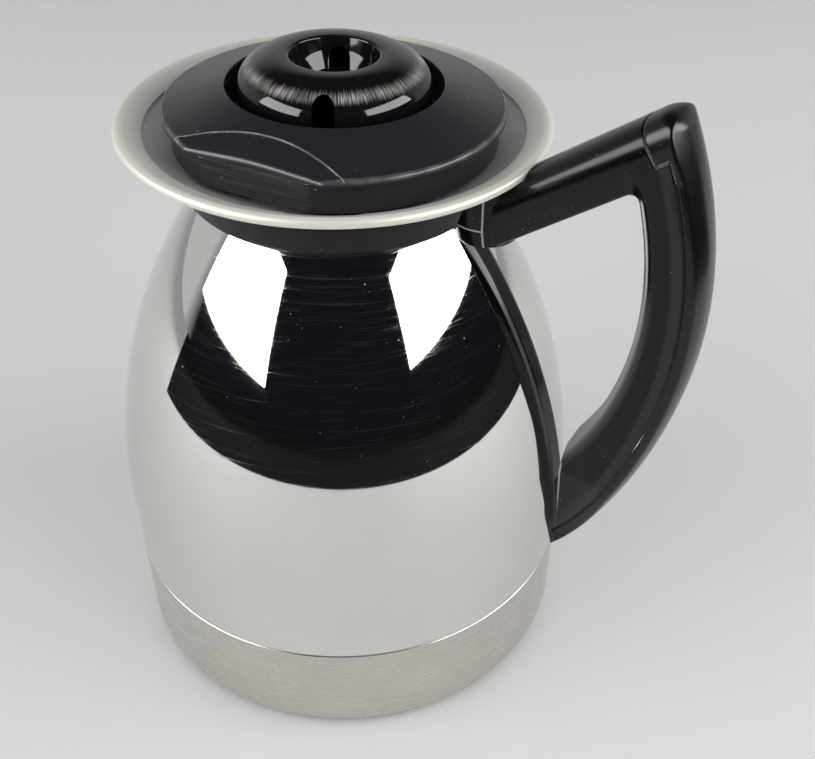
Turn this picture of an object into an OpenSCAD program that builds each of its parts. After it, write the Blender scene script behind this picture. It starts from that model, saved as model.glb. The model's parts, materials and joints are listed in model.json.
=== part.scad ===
// Double-walled steel coffee jug with a brew-through twist-off lid.
// The origin is the middle of the base, where the jug stands. +Z is up along the axis of the body,
// and the handle points along +X.

/* [Body] */
// Largest radius of the steel body
body_r = 70; // [69:0.5:71]
// Radius of the body at the bottom
foot_r = 69; // [68:0.5:69.5]
// Height where the straight wall ends and the shoulder begins
belly_z = 57; // [54:1:60]
// Radius of the shoulder's arc, seen from the side
shoulder_r = 162; // [160:1:164]
// Height of the seam between the polished body and the satin base cup
seam_z = 34.5; // [25:0.5:45]
// Thickness of the steel sheet
sheet = 0.8; // [0.6:0.1:1]
// Distance between the outer body and the inner bottle
vacuum_gap = 7; // [6:0.5:8]
// Height of the base cup's lower edge above the table
edge_lift = 1.2; // [0.8:0.1:1.6]

/* [Neck and pouring rim] */
// Height of the neck's foot, where the shoulder ends
neck_z = 155; // [154:0.5:156]
// Height of the weld that closes the neck
mouth_z = 162; // [161.5:0.5:162.5]
// Radius of the inner bottle's mouth, where the lid seals
throat_r = 31.5; // [31.3:0.1:31.7]
// Radius of the pouring rim's outer edge
rim_r = 58; // [56:0.5:60]
// Height of the pouring rim's outer edge
rim_z = 174.3; // [173.8:0.1:174.8]

/* [Lid] */
// Radius of the lid's overhanging edge
lid_r = 45.4; // [45:0.1:46]
// Radius of the lid's side wall
skirt_r = 43.5; // [43:0.1:44]
// Height of the side wall's lower edge
skirt_z = 167.8; // [167.6:0.1:168.2]
// Height of the lid's outer edge
lid_edge_z = 177.5; // [177:0.1:178]
// Height of the inner edge of the lid's conical top
lid_crown_z = 183.1; // [182.5:0.1:183.5]
// Radius of the opening that the dome stands in
crown_r = 28.4; // [28:0.1:29]
// Direction of the pouring notch, counted from the handle
notch_turn = 274.5; // [270:0.5:280]
// Distance of the notch's flat wall from the axis
notch_flat = 41; // [40.5:0.1:41.5]
// Angle that the lid turns through to lock
lock_turn = 95; // [90:1:98]

/* [Dome] */
// Radius of the dome
dome_r = 25.5; // [25:0.1:26]
// Height of the dome's top
dome_z = 190.4; // [190:0.1:191]
// Radius of the well in the top of the dome
well_r = 11; // [10.5:0.1:11.5]
// Width of the two slots in the dome
slot_w = 5.7; // [5:0.1:6.2]
// Direction of the slot in the front of the dome
slot_turn = 297; // [290:1:304]

/* [Handle] */
// Width of the handle
handle_w = 17; // [16:0.5:18]
// Radius of the grip's back, upper stretch
back_r = 116.5; // [115:0.5:118]
// Radius of the grip's back, lower stretch
back_low_r = 169.5; // [168:0.5:171]
// Rise of the arm, in degrees
arm_rise = 36.2; // [35.8:0.1:36.6]
// Thickness of the outer cover
cover_t = 4; // [3.5:0.1:4.5]
// Width of the strip that follows the body
strip_w = 7.2; // [6.5:0.1:8]
// Height of the handle's lower tip
tip_z = 50.8; // [49:0.1:53]

/* [Hidden] */

$fn = 96;
far = 300;
// A cut runs this far past the face that it opens
past = 1;
steel = [0.78, 0.78, 0.76];
satin_steel = [0.66, 0.65, 0.62];
black = [0.07, 0.07, 0.08];
deep_black = [0.03, 0.03, 0.035];
silicone = [0.55, 0.56, 0.55];

// Body
arc_x = body_r - shoulder_r;
neck_r = arc_x + sqrt(pow(shoulder_r, 2) - pow(neck_z - belly_z, 2));
corner_r = 6;
lap = 5;
recess_r = 57;
recess_z = 6;
getter_r = 7;
getter_t = 2.6;
mat_r = 60;
mat_t = 3;
liner_floor = 12;
liner_t = 0.7;
liner_corner = 16;
seal_zone_z = 157;
upper_throat_r = throat_r + 1.9;

// Pouring rim
gasket_t = 0.8;
rim_seat_z = mouth_z + 1 + gasket_t;
rim_in_r = throat_r + 2.3;
lip_r = 1.4;
dish_t = 0.9;
dish_r = 46;
dish_rise = 3.8;
tab_r = throat_r + 0.1;
lug_half = 6;
gap_half = 10;
collar_r = 42;
collar_top_r = 46;
collar_top_z = rim_seat_z + 1.4;
carrier_r = 40.6;
carrier_in_r = neck_r + 1.2;
carrier_z = 157.6;

// Lid
plug_r = 30.2;
plug_in_r = 27.2;
plug_z = 140;
deck_z = 170.2;
deck_t = 2;
deck_top = deck_z + deck_t;
deck_r = 38.6;
ring_t = 2.4;
wall_t = 1.8;
cone_slope = (lid_crown_z - lid_edge_z) / (lid_r - crown_r);
scoop_depth = 1;
scoop_arc = 57.5;
scoop_reach = 33.4;
seal_z = 152;
seal_h = 3.4;
seal_in_r = 29.2;
seal_gap = 0.3;
groove_r = 28.9;
lug_z = 160.6;
lug_h = 2.6;
lug_r = throat_r + 1.5;
window_half = 22;
window_z = 165.2;
screw_ring_r = 35;
screw_r = 1.15;
screw_head_r = 2.4;
screw_l = 7;
boss_r = 2.6;
hole_r = 5.5;
hole_ring_r = 16;
screw_spread = 60;

// Dome
dome_centre_r = 14;
dome_base_z = dome_z - 8.1;
dome_rise = dome_z - dome_base_z;
dome_wall = 2.2;
well_floor = 181;
drain_r = 3.2;
slot_top = 188.5;
tube_end = 150;
tube_r = 7;
tube_in_r = 5.4;

// Float valve
stem_r = 2;
stem_hole_r = 2.1;
float_r = 9;
float_z = 142.6;
float_t = 3;
stem_z = 133;

// Handle
half_w = handle_w / 2;
back_x = -8;
back_z = 145;
bend = 8.7;
low_x = back_x - (back_low_r - back_r) * cos(bend);
low_z = back_z + (back_low_r - back_r) * sin(bend);
grip_x = -3;
grip_z = 147.5;
grip_r = 95.5;
flank_x = 18;
flank_z = 150.3;
flank_r = 80;
flank_in = 6;
flank_foot_x = 77.2;
crotch_z = 88;
taper_z = 88;
tip_half = 0.8;
arm_x = 70;
arm_bottom = 165.4;
arm_h = 14.4;
arm_edge = 6;
arm_side = 8.5;
arm_foot_w = 6.3;
root_x = 46.5;
root_r = 9.3;
root_z = 152.3;
strip_x = -74.6;
strip_z = 56;
strip_r = 150.2;
strip_top = 154;
strip_gap = 0.2;
crown_drop = 2.4;
cap_x = 87;
cap_z = 194.4;
cap_depth = 9;
peak_x = 92.5;
peak_z = 198.7;
peak_fall = 15;
cover_end_z = 58;
cover_gap = 0.15;
stud_z = 74;
stud_r = 2;

// A right half outline of the body, inset by a distance, from one height to another
module body_half(inset, low, high) {
    intersection() {
        union() {
            translate([arc_x, belly_z])
                circle(r = shoulder_r - inset, $fn = 360);
            polygon([[0, 0], [foot_r - inset, 0], [body_r - inset, belly_z], [0, belly_z]]);
        }
        union() {
            translate([0, max(low, belly_z)])
                square([far, max(high - max(low, belly_z), 0.001)]);
            intersection() {
                polygon([[0, 0], [foot_r - inset, 0], [body_r - inset, belly_z], [0, belly_z]]);
                translate([0, low])
                    square([far, belly_z - low]);
            }
        }
        translate([0, low])
            square([far, high - low]);
    }
}

// The piece that is taken off an outer bottom corner to round it
module corner_waste(x, z, r) {
    difference() {
        translate([x - r, z - past])
            square([r + past, r + past]);
        translate([x - r, z + r])
            circle(r = r);
    }
}

module ring(r_in, r_out, low, high) {
    rotate_extrude()
        translate([r_in, low])
            square([r_out - r_in, high - low]);
}

// A sector of a ring, centred on a direction
module ring_sector(r_in, r_out, low, high, direction, half) {
    rotate([0, 0, direction - half])
        rotate_extrude(angle = 2 * half)
            translate([r_in, low])
                square([r_out - r_in, high - low]);
}

// Polished upper body with its neck. Its lower edge is stepped in, to lap inside the base cup.
module outer_shell() {
    color(steel)
        rotate_extrude()
            union() {
                difference() {
                    body_half(0, seam_z + 0.3, neck_z);
                    body_half(sheet, seam_z + 0.3 + sheet, neck_z + past);
                    translate([0, seam_z])
                        square([body_r - 2 * sheet - 0.5, 2]);
                }
                translate([neck_r - sheet, neck_z - 1.5])
                    square([sheet, mouth_z - neck_z + 1.5]);
                difference() {
                    body_half(sheet + 0.05, seam_z - lap, seam_z + 0.5);
                    body_half(2 * sheet, seam_z - lap - past, seam_z + 1);
                }
            }
}

// Satin base cup, which closes the outer envelope from below
module base_cup() {
    color(satin_steel)
        rotate_extrude()
            difference() {
                difference() {
                    body_half(0, edge_lift, seam_z);
                    corner_waste(foot_r + 0.1, edge_lift, corner_r);
                    square([recess_r, recess_z]);
                    square([mat_r + 0.2, mat_t + 0.1]);
                }
                difference() {
                    body_half(sheet, recess_z + sheet, seam_z + past);
                    corner_waste(foot_r - sheet + 0.1, edge_lift + sheet, corner_r - sheet);
                }
            }
}

// Inner bottle that holds the coffee
module inner_liner() {
    color(steel)
        rotate_extrude()
            difference() {
                union() {
                    difference() {
                        body_half(vacuum_gap, liner_floor, neck_z);
                        corner_waste(foot_r - vacuum_gap + 0.15, liner_floor, liner_corner);
                    }
                    translate([0, neck_z - 8])
                        square([throat_r + liner_t, seal_zone_z - neck_z + 8 + liner_t]);
                    translate([0, seal_zone_z])
                        square([upper_throat_r + liner_t, mouth_z - seal_zone_z]);
                }
                difference() {
                    body_half(vacuum_gap + liner_t, liner_floor + liner_t, neck_z - 4.6);
                    corner_waste(foot_r - vacuum_gap - liner_t + 0.15, liner_floor + liner_t,
                                 liner_corner - liner_t);
                }
                translate([0, neck_z - 9])
                    square([throat_r, seal_zone_z - neck_z + 9 + past]);
                translate([0, seal_zone_z + liner_t])
                    square([upper_throat_r, mouth_z]);
            }
}

// Weld ring that closes the gap between the two necks
module neck_ring() {
    color(steel)
        ring(upper_throat_r, neck_r, mouth_z, mouth_z + 1);
}

// Getter capsule, which keeps the vacuum
module getter() {
    color(satin_steel)
        translate([30, 0, recess_z + sheet])
            cylinder(r = getter_r, h = getter_t);
}

// Sealed tip of the evacuation tube, under the base cup's floor
module tip_cap() {
    color(satin_steel)
        translate([0, 0, mat_t + 0.2])
            cylinder(r1 = 3, r2 = 5, h = recess_z - mat_t - 0.2);
}

// Non-slip mat that the jug stands on
module base_mat() {
    color(deep_black)
        difference() {
            cylinder(r = mat_r, h = mat_t);
            for (r = [24, 44])
                ring(r, r + 4, -past, 0.8);
        }
}

// Flared pouring rim with a rolled lip, and the three tabs that hold the lid's lugs
module pour_rim() {
    color(satin_steel)
        union() {
            rotate_extrude()
                union() {
                    polygon([[rim_in_r, rim_seat_z], [neck_r + 0.6, rim_seat_z],
                             [dish_r, rim_seat_z + dish_rise - dish_t],
                             [rim_r - lip_r, rim_z - 0.7 - dish_t], [rim_r - lip_r, rim_z - 0.7],
                             [dish_r, rim_seat_z + dish_rise],
                             [neck_r, rim_seat_z + dish_t], [rim_in_r, rim_seat_z + dish_t]]);
                    translate([rim_r - lip_r, rim_z - lip_r])
                        circle(r = lip_r);
                }
            for (i = [0 : 2])
                ring_sector(tab_r, rim_in_r + 0.3, rim_seat_z, rim_seat_z + dish_t,
                            120 * i, 60 - gap_half);
        }
}

module rim_gasket() {
    color(silicone)
        ring(rim_in_r, neck_r, mouth_z + 1, rim_seat_z);
}

// Ring that carries the pouring rim inside the collar
module rim_carrier() {
    color(black)
        rotate_extrude()
            polygon([[carrier_in_r, carrier_z], [carrier_r, carrier_z], [carrier_r, rim_seat_z + 0.6],
                     [carrier_in_r, rim_seat_z - 0.1]]);
}

// Black collar round the neck
module neck_collar() {
    color(black)
        rotate_extrude()
            difference() {
                polygon([[neck_r + 0.3, neck_z], [collar_r - 1, neck_z], [collar_r, neck_z + 0.8],
                         [collar_top_r, collar_top_z], [carrier_r + 0.2, rim_seat_z + 0.5],
                         [neck_r + 0.3, rim_seat_z + 0.5]]);
                translate([0, carrier_z - 0.1])
                    square([carrier_r + 0.1, 20]);
            }
}

// Spring ring in the collar's bore
module retaining_ring() {
    color(steel)
        ring_sector(neck_r, neck_r + 1, carrier_z + 0.1, carrier_z + 1.3, 0, 168);
}

// Side outline of everything inside the grip's back, inset by a distance. Two arcs meet at the bend.
module back_outline(inset) {
    intersection() {
        translate([back_x, back_z])
            circle(r = back_r - inset, $fn = 360);
        translate([back_x, back_z])
            polygon([[0, 0], [far, -far * tan(bend)], [far, far], [-far, far]]);
    }
    intersection() {
        translate([low_x, low_z])
            circle(r = back_low_r - inset, $fn = 360);
        translate([back_x, back_z])
            polygon([[0, 0], [far, -far * tan(bend)], [far, -far], [-far, -far], [-far, far]]);
    }
}

// The side outline of all that lies under a line that rises like the arm
module below_arm_line(height) {
    translate([arm_x, height])
        rotate(arm_rise)
            translate([-far, -2 * far])
                square([2 * far, 2 * far]);
}

module extrude_side(width) {
    rotate([90, 0, 0])
        translate([0, 0, -width / 2])
            linear_extrude(height = width)
                children();
}

// Side outline of the strip that follows the body
module strip_outline() {
    intersection() {
        difference() {
            union() {
                translate([strip_x, strip_z])
                    circle(r = strip_r, $fn = 360);
                square([strip_x + strip_r, strip_z]);
            }
            translate([arc_x, belly_z])
                circle(r = shoulder_r + strip_gap, $fn = 360);
            square([body_r + strip_gap, belly_z]);
        }
        polygon([[30, strip_top], [80, strip_top], [80, tip_z + 8], [body_r + 4.2, tip_z],
                 [body_r + strip_gap, tip_z + 14], [body_r - 20, tip_z + 30]]);
    }
}

// Side outline of the grip below the arm, from a distance off the axis outwards
module grip_outline(inset, from_x) {
    difference() {
        intersection() {
            back_outline(inset);
            below_arm_line(arm_bottom + arm_edge / cos(arm_rise));
            translate([from_x, tip_z])
                square([far, far]);
        }
        intersection() {
            translate([grip_x, grip_z])
                circle(r = grip_r, $fn = 360);
            translate([0, crotch_z])
                square([far, far]);
        }
    }
}

// Cones that slope the inner flanks of the grip
module flank_cones() {
    intersection() {
        for (side = [-1, 1])
            translate([flank_x, side * (half_w + 0.01), flank_z])
                rotate([side * 90, 0, 0])
                    cylinder(r1 = flank_r, r2 = flank_r - flank_in, h = flank_in, $fn = 360);
        extrude_side(2 * handle_w)
            below_arm_line(arm_bottom);
    }
}

// The grip narrows to its tip, seen from outside
module tip_taper() {
    for (side = [-1, 1])
        rotate([90, 0, 90])
            linear_extrude(height = far)
                polygon([[side * (half_w + past), taper_z], [side * half_w, taper_z],
                         [side * tip_half, tip_z], [side * tip_half, 0],
                         [side * (half_w + past), 0]]);
}

// Long bar with the arm's section: a rounded top, and bevels along the lower edges
module arm_bar() {
    translate([arm_x, 0, arm_bottom])
        rotate([0, -arm_rise, 0])
            rotate([90, 0, 90])
                linear_extrude(height = far, center = true)
                    polygon(concat([[-arm_foot_w, 0], [arm_foot_w, 0], [half_w, arm_edge]],
                                   [for (a = [0 : 15 : 180])
                                       [half_w * cos(a), arm_side + (arm_h - arm_side) * sin(a)]],
                                   [[-half_w, arm_edge]]));
}

// Disc with a crowned rim, which shapes one stretch of the grip's back
module crowned_disc(x, z, r) {
    translate([x, 0, z])
        rotate([90, 0, 0])
            rotate_extrude($fn = 360)
                polygon([[0, -half_w], [r - crown_drop, -half_w], [r - crown_drop / 4, -half_w / 2],
                         [r, 0], [r - crown_drop / 4, half_w / 2], [r - crown_drop, half_w], [0, half_w]]);
}

module crowned_back() {
    intersection() {
        crowned_disc(back_x, back_z, back_r);
        extrude_side(2 * handle_w)
            translate([back_x, back_z])
                polygon([[0, 0], [far, -far * tan(bend)], [far, far], [-far, far]]);
    }
    intersection() {
        crowned_disc(low_x, low_z, back_low_r);
        extrude_side(2 * handle_w)
            translate([back_x, back_z])
                polygon([[0, 0], [far, -far * tan(bend)], [far, -far], [-far, -far], [-far, far]]);
    }
}

// The part of the handle beyond a cut square to the arm, which belongs to the cover
module cap_region(grow) {
    translate([cap_x - grow, cap_z])
        rotate(arm_rise)
            translate([0, -cap_depth - grow])
                square([far, far]);
}

// Side outline of the inner moulding's share of the handle. It has the whole tip, below the cover.
module frame_share() {
    difference() {
        back_outline(cover_t + cover_gap);
        cap_region(cover_gap);
    }
    intersection() {
        back_outline(0);
        square([far, cover_end_z - cover_gap]);
    }
}

// Room for the collar, the body's shoulder and the pouring rim at the arm's root
module root_clearance() {
    rotate_extrude()
        union() {
            polygon([[0, neck_z - 10], [collar_r - 0.9, neck_z - 0.1], [collar_r + 0.1, neck_z + 0.7],
                     [collar_top_r + 0.1, collar_top_z], [collar_top_r + 0.1, collar_top_z + 0.8],
                     [rim_r - lip_r, rim_z - 2 * lip_r - 0.4], [rim_r + 0.6, rim_z - 2 * lip_r - 0.4],
                     [rim_r + 0.6, far], [0, far]]);
            translate([0, -0.2])
                body_half(-0.3, root_z - past, neck_z);
        }
}

// Handle moulding: arm, inner half of the grip, and the strip on the body
module handle_frame() {
    color(deep_black)
        difference() {
            union() {
                difference() {
                    union() {
                        intersection() {
                            arm_bar();
                            extrude_side(handle_w)
                                intersection() {
                                    frame_share();
                                    translate([root_x, root_z])
                                        square([far, far]);
                                }
                        }
                        translate([root_x, 0, root_z])
                            cylinder(r = root_r, h = rim_seat_z - root_z);
                    }
                    root_clearance();
                }
                intersection() {
                    crowned_back();
                    union() {
                        difference() {
                            extrude_side(handle_w)
                                intersection() {
                                    grip_outline(0, flank_foot_x);
                                    frame_share();
                                }
                            flank_cones();
                        }
                        extrude_side(strip_w)
                            intersection() {
                                difference() {
                                    grip_outline(0, body_r);
                                    translate([strip_x, strip_z])
                                        circle(r = strip_r - 0.5, $fn = 360);
                                }
                                frame_share();
                                translate([body_r, 0])
                                    square([flank_foot_x - body_r + 1, crotch_z + 3]);
                            }
                    }
                }
                extrude_side(strip_w)
                    strip_outline();
            }
            tip_taper();
            translate([0, 0, stud_z])
                rotate([0, 90, 0])
                    cylinder(r = stud_r, h = body_r + 3);
        }
}

// Outer cover of the grip, with its cap at the top
module handle_cover() {
    color(black)
        difference() {
            intersection() {
                union() {
                    intersection() {
                        arm_bar();
                        extrude_side(handle_w)
                            back_outline(0);
                    }
                    extrude_side(handle_w)
                        grip_outline(0, flank_foot_x);
                }
                crowned_back();
                extrude_side(2 * handle_w)
                    translate([peak_x, peak_z])
                        rotate(-peak_fall)
                            translate([-far, -2 * far])
                                square([2 * far, 2 * far]);
                extrude_side(2 * handle_w)
                    difference() {
                        translate([0, cover_end_z])
                            square([far, far]);
                        difference() {
                            back_outline(cover_t);
                            cap_region(0);
                        }
                    }
            }
            tip_taper();
        }
}

// Stud on the body that holds the strip's lower end
module strip_stud() {
    color(steel)
        translate([body_r - 0.6, 0, stud_z])
            rotate([0, 90, 0])
                cylinder(r = stud_r, h = 3.4);
}

// Ring that seals the lid in the mouth of the inner bottle
module lid_seal() {
    color(silicone)
        rotate_extrude()
            union() {
                translate([seal_in_r, seal_z])
                    square([throat_r - seal_gap - 0.8 - seal_in_r, seal_h]);
                for (z = [seal_z + 0.8, seal_z + seal_h - 0.8])
                    translate([throat_r - seal_gap - 0.8, z])
                        circle(r = 0.8);
            }
}

module notch_frame() {
    rotate([0, 0, notch_turn])
        children();
}

// Everything on the near side of an upright plane across the notch
module inside_plane(distance) {
    notch_frame()
        translate([distance - far, -far / 2, 0])
            cube([far, far, far]);
}

function cone_z(r) = lid_edge_z + (lid_r - r) * cone_slope;

// Ring-shaped lid cover with a conical top, a side wall and the pouring notch
module lid_cover() {
    color(black)
        difference() {
            union() {
                difference() {
                    intersection() {
                        rotate_extrude()
                            polygon([[crown_r, skirt_z], [skirt_r, skirt_z], [skirt_r, lid_edge_z - 2.1],
                                     [lid_r, lid_edge_z - 1.7], [lid_r, lid_edge_z - 0.6],
                                     [lid_r - 0.6, cone_z(lid_r - 0.6)],
                                     [crown_r + 0.7, cone_z(crown_r + 0.7)],
                                     [crown_r, cone_z(crown_r) - 0.7]]);
                        inside_plane(notch_flat);
                    }
                    intersection() {
                        rotate_extrude()
                            polygon([[crown_r - past, skirt_z - past], [skirt_r - wall_t, skirt_z - past],
                                     [skirt_r - wall_t, cone_z(skirt_r - wall_t) - ring_t],
                                     [crown_r + wall_t, cone_z(crown_r + wall_t) - ring_t],
                                     [crown_r + wall_t, deck_top + 1], [crown_r - past, deck_top + 1]]);
                        inside_plane(notch_flat - wall_t);
                    }
                }
                for (i = [0 : 2])
                    rotate([0, 0, notch_turn + screw_spread + 120 * i])
                        translate([screw_ring_r, 0, deck_top])
                            cylinder(r = boss_r, h = cone_z(screw_ring_r) - deck_top - 1);
            }
            notch_scoop();
            for (i = [0 : 2])
                rotate([0, 0, notch_turn + screw_spread + 120 * i])
                    translate([screw_ring_r, 0, deck_top - past])
                        cylinder(r = screw_r, h = screw_l - deck_t + 0.5 + past);
        }
}

// Shallow lens-shaped scoop above the notch
module notch_scoop() {
    difference() {
        notch_frame()
            translate([scoop_reach + scoop_arc, 0, lid_edge_z - 8])
                cylinder(r = scoop_arc, h = 20, $fn = 360);
        rotate_extrude()
            polygon([[0, 0], [lid_r + 20, 0], [lid_r + 20, cone_z(lid_r + 20) - scoop_depth],
                     [0, cone_z(0) - scoop_depth]]);
    }
}

// Points of the dome's outline, inset by a distance, from its side to its top
function dome_points(inset) =
    [for (a = [0 : 7.5 : 90]) [dome_centre_r + (dome_r - dome_centre_r - inset) * cos(a),
                               dome_base_z + (dome_rise - inset) * sin(a)]];

// A slot with a round top, cut through the dome from a radius outwards
module dome_slot(direction, from_r, to_r, low, top) {
    rotate([0, 0, direction])
        union() {
            translate([from_r, -slot_w / 2, low])
                cube([to_r - from_r, slot_w, top - slot_w / 2 - low]);
            translate([from_r, 0, top - slot_w / 2])
                rotate([0, 90, 0])
                    cylinder(r = slot_w / 2, h = to_r - from_r);
        }
}

// Glossy dome with the well that coffee drips into
module lid_dome() {
    color(deep_black)
        difference() {
            rotate_extrude()
                polygon(concat([[dome_r, deck_top]], dome_points(0),
                               [[well_r + 0.9, dome_z - 0.1], [well_r, dome_z - 0.8],
                                [well_r - 0.6, dome_z - 4], [well_r - 2.6, well_floor + 1],
                                [well_r - 4.5, well_floor], [drain_r, well_floor - 0.4],
                                [drain_r, well_floor - 2.2], [well_r - 3.5, well_floor - 2],
                                [well_r, well_floor], [well_r + 1.6, dome_z - 4],
                                [well_r + 2.4, dome_z - dome_wall]],
                               [for (i = [12 : -1 : 0]) dome_points(dome_wall)[i]],
                               [[dome_r - dome_wall, deck_top]]));
            dome_slot(slot_turn, 14, dome_r + past, deck_top + 2, slot_top);
            dome_slot(slot_turn + 180, 5, 14.5, well_floor + 1.2, slot_top - 0.7);
        }
}

// Stopper body with its windows and the three lugs that lock under the rim's tabs
module lid_plug() {
    color(black)
        difference() {
            union() {
                rotate_extrude()
                    polygon([[plug_in_r, plug_z], [plug_r, plug_z], [plug_r, seal_z - seal_gap],
                             [groove_r, seal_z - seal_gap], [groove_r, seal_z + seal_h + seal_gap],
                             [plug_r, seal_z + seal_h + seal_gap], [plug_r, deck_z], [deck_r, deck_z],
                             [deck_r, deck_top], [20, deck_top], [20, deck_z], [plug_in_r, deck_z]]);
                for (i = [0 : 2])
                    ring_sector(plug_r - 0.5, lug_r, lug_z, lug_z + lug_h, 60 + 120 * i, lug_half);
            }
            for (i = [0 : 2])
                ring_sector(plug_in_r - past, plug_r + past, window_z, deck_z - 0.8,
                            notch_turn + 120 * i, window_half);
            for (i = [0 : 2])
                rotate([0, 0, notch_turn + screw_spread + 120 * i])
                    translate([screw_ring_r, 0, deck_z - past])
                        cylinder(r = 1.4, h = deck_t + 2 * past);
        }
}

// Perforated bottom of the stopper, with the float's guide
module plug_base() {
    color(black)
        difference() {
            union() {
                translate([0, 0, plug_z - 2])
                    cylinder(r = plug_r, h = 2);
                ring(25, plug_in_r - 0.1, plug_z - 0.5, plug_z + 3);
                translate([0, 0, plug_z - 0.5])
                    cylinder(r = 4.5, h = 2.8);
            }
            translate([0, 0, plug_z - 5])
                cylinder(r = stem_hole_r, h = 10);
            for (i = [0 : 5])
                rotate([0, 0, 60 * i])
                    translate([hole_ring_r, 0, plug_z - 5])
                        cylinder(r = hole_r, h = 10);
        }
}

// Funnel and drip tube under the dome
module brew_funnel() {
    color(black)
        rotate_extrude()
            polygon([[23, deck_top], [23, deck_top + 1.2], [19.6, deck_top + 1.2], [tube_in_r, 160],
                     [tube_in_r, tube_end], [tube_r, tube_end], [tube_r, 159.3], [19.6, deck_z],
                     [19.6, deck_top]]);
}

module cover_gasket() {
    color(silicone)
        ring(crown_r, crown_r + wall_t, deck_top, deck_top + 1);
}

// Three screws that hold the stopper under the cover
module lid_screws() {
    color(steel)
        for (i = [0 : 2])
            rotate([0, 0, notch_turn + screw_spread + 120 * i])
                translate([screw_ring_r, 0, 0]) {
                    translate([0, 0, deck_z - 1.4])
                        cylinder(r = screw_head_r, h = 1.4);
                    translate([0, 0, deck_z - 0.5])
                        cylinder(r = screw_r, h = screw_l);
                }
}

// Float that rises with the coffee and closes the drip tube
module valve_float() {
    color(silicone)
        union() {
            translate([0, 0, float_z])
                cylinder(r = float_r, h = float_t);
            translate([0, 0, float_z + float_t - 0.5])
                cylinder(r1 = 4, r2 = 2.4, h = 2.6);
            translate([0, 0, stem_z])
                cylinder(r = stem_r, h = float_z - stem_z + 1);
        }
}

outer_shell();
base_cup();
inner_liner();
neck_ring();
getter();
tip_cap();
base_mat();
pour_rim();
rim_gasket();
rim_carrier();
neck_collar();
retaining_ring();
handle_frame();
handle_cover();
strip_stud();
lid_seal();
lid_cover();
lid_dome();
lid_plug();
plug_base();
brew_funnel();
cover_gasket();
lid_screws();
valve_float();
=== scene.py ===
"""Double-walled steel coffee jug with a brew-through lid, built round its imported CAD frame."""

import json
import math

import bmesh
import bpy
import numpy as np
from mathutils import Matrix, Vector


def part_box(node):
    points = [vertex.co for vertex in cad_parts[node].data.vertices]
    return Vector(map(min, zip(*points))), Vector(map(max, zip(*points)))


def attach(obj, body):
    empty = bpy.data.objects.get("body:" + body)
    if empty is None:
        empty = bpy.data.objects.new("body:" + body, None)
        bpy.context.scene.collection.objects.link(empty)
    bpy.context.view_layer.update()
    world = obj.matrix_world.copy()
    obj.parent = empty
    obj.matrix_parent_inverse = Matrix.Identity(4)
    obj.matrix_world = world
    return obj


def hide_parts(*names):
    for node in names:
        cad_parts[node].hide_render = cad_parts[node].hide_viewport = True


MM = 0.001
METRE = 1000
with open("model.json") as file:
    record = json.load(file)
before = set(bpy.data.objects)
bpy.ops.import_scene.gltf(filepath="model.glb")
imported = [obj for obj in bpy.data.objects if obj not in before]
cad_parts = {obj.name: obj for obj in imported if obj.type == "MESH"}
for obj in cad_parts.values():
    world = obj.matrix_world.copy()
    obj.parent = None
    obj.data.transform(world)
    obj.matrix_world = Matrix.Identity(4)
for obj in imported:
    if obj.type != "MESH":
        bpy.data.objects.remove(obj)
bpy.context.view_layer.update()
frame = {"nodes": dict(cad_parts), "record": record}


def low(node, axis):
    """Lowest coordinate of a CAD node along an axis, in mm."""
    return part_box(node)[0][axis] / MM


def high(node, axis):
    """Highest coordinate of a CAD node along an axis, in mm."""
    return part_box(node)[1][axis] / MM


# ---------------------------------------------------------------- sizes, in mm, from the frame
BODY_R = high("outer_shell", 0)
FOOT_R = 69.0
BELLY_Z = 57.0
SHOULDER_R = 162.0
ARC_X = BODY_R - SHOULDER_R
SEAM_Z = high("base_cup", 2)
EDGE_Z = low("base_cup", 2)
NECK_Z = 155.0
MOUTH_Z = high("outer_shell", 2)
NECK_R = ARC_X + math.sqrt(SHOULDER_R**2 - (NECK_Z - BELLY_Z) ** 2)
SEAT_Z = low("pour_rim", 2)
RIM_Z = high("pour_rim", 2)
RIM_R = high("pour_rim", 0)
LIP_R = 1.4
LID_R = high("lid_cover", 0)
SKIRT_R = 43.5
SKIRT_Z = low("lid_cover", 2)
CROWN_R = 28.4
CROWN_Z = high("lid_cover", 2) + 0.23
LID_EDGE_Z = 177.5
CONE = (CROWN_Z - LID_EDGE_Z) / (LID_R - CROWN_R)
NOTCH_TURN = 274.5
NOTCH_FLAT = 41.0
NOTCH_SECTOR = 1.2  # half width in radians of the sector that the notch may touch
SCOOP_REACH = 33.4
SCOOP_BOW = 57.5
DOME_R = high("lid_dome", 0)
DOME_Z = high("lid_dome", 2)
DECK_Z = high("lid_plug", 2)
SLOT_TURN = 297.0
SLOT_W = 5.7
HALF_W = 8.5
ARM_RISE = math.radians(36.2)
ARM_BOTTOM = 165.4
ARM_EDGE = 6.0
BEND = math.radians(8.7)
BEND_Z = 127.7
# circles in the handle's side view: centre x, centre z, radius
BACK = (-8.0, 145.0, 116.5)
BACK_LOW = (-8.0 - 53.0 * math.cos(BEND), 145.0 + 53.0 * math.sin(BEND), 169.5)
GRIP = (-3.0, 147.5, 95.5)
STRIP = (-74.6, 56.0, 150.2)
NOSE_R = 5.2
STRIP_HALF = 3.6
ROOT_X, ROOT_R = 46.2, 9.8
ROOT_Z = 152.2
TAPER_Z = 88.0
TIP_Z = 50.8
TIP_HALF = 0.8
FOOT_X = 75.4
FOOT_LEAN = 0.048
COVER_T = 4.0
COVER_END_Z = 58.0
CAP_X, CAP_Z = 87.0, 194.4

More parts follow.
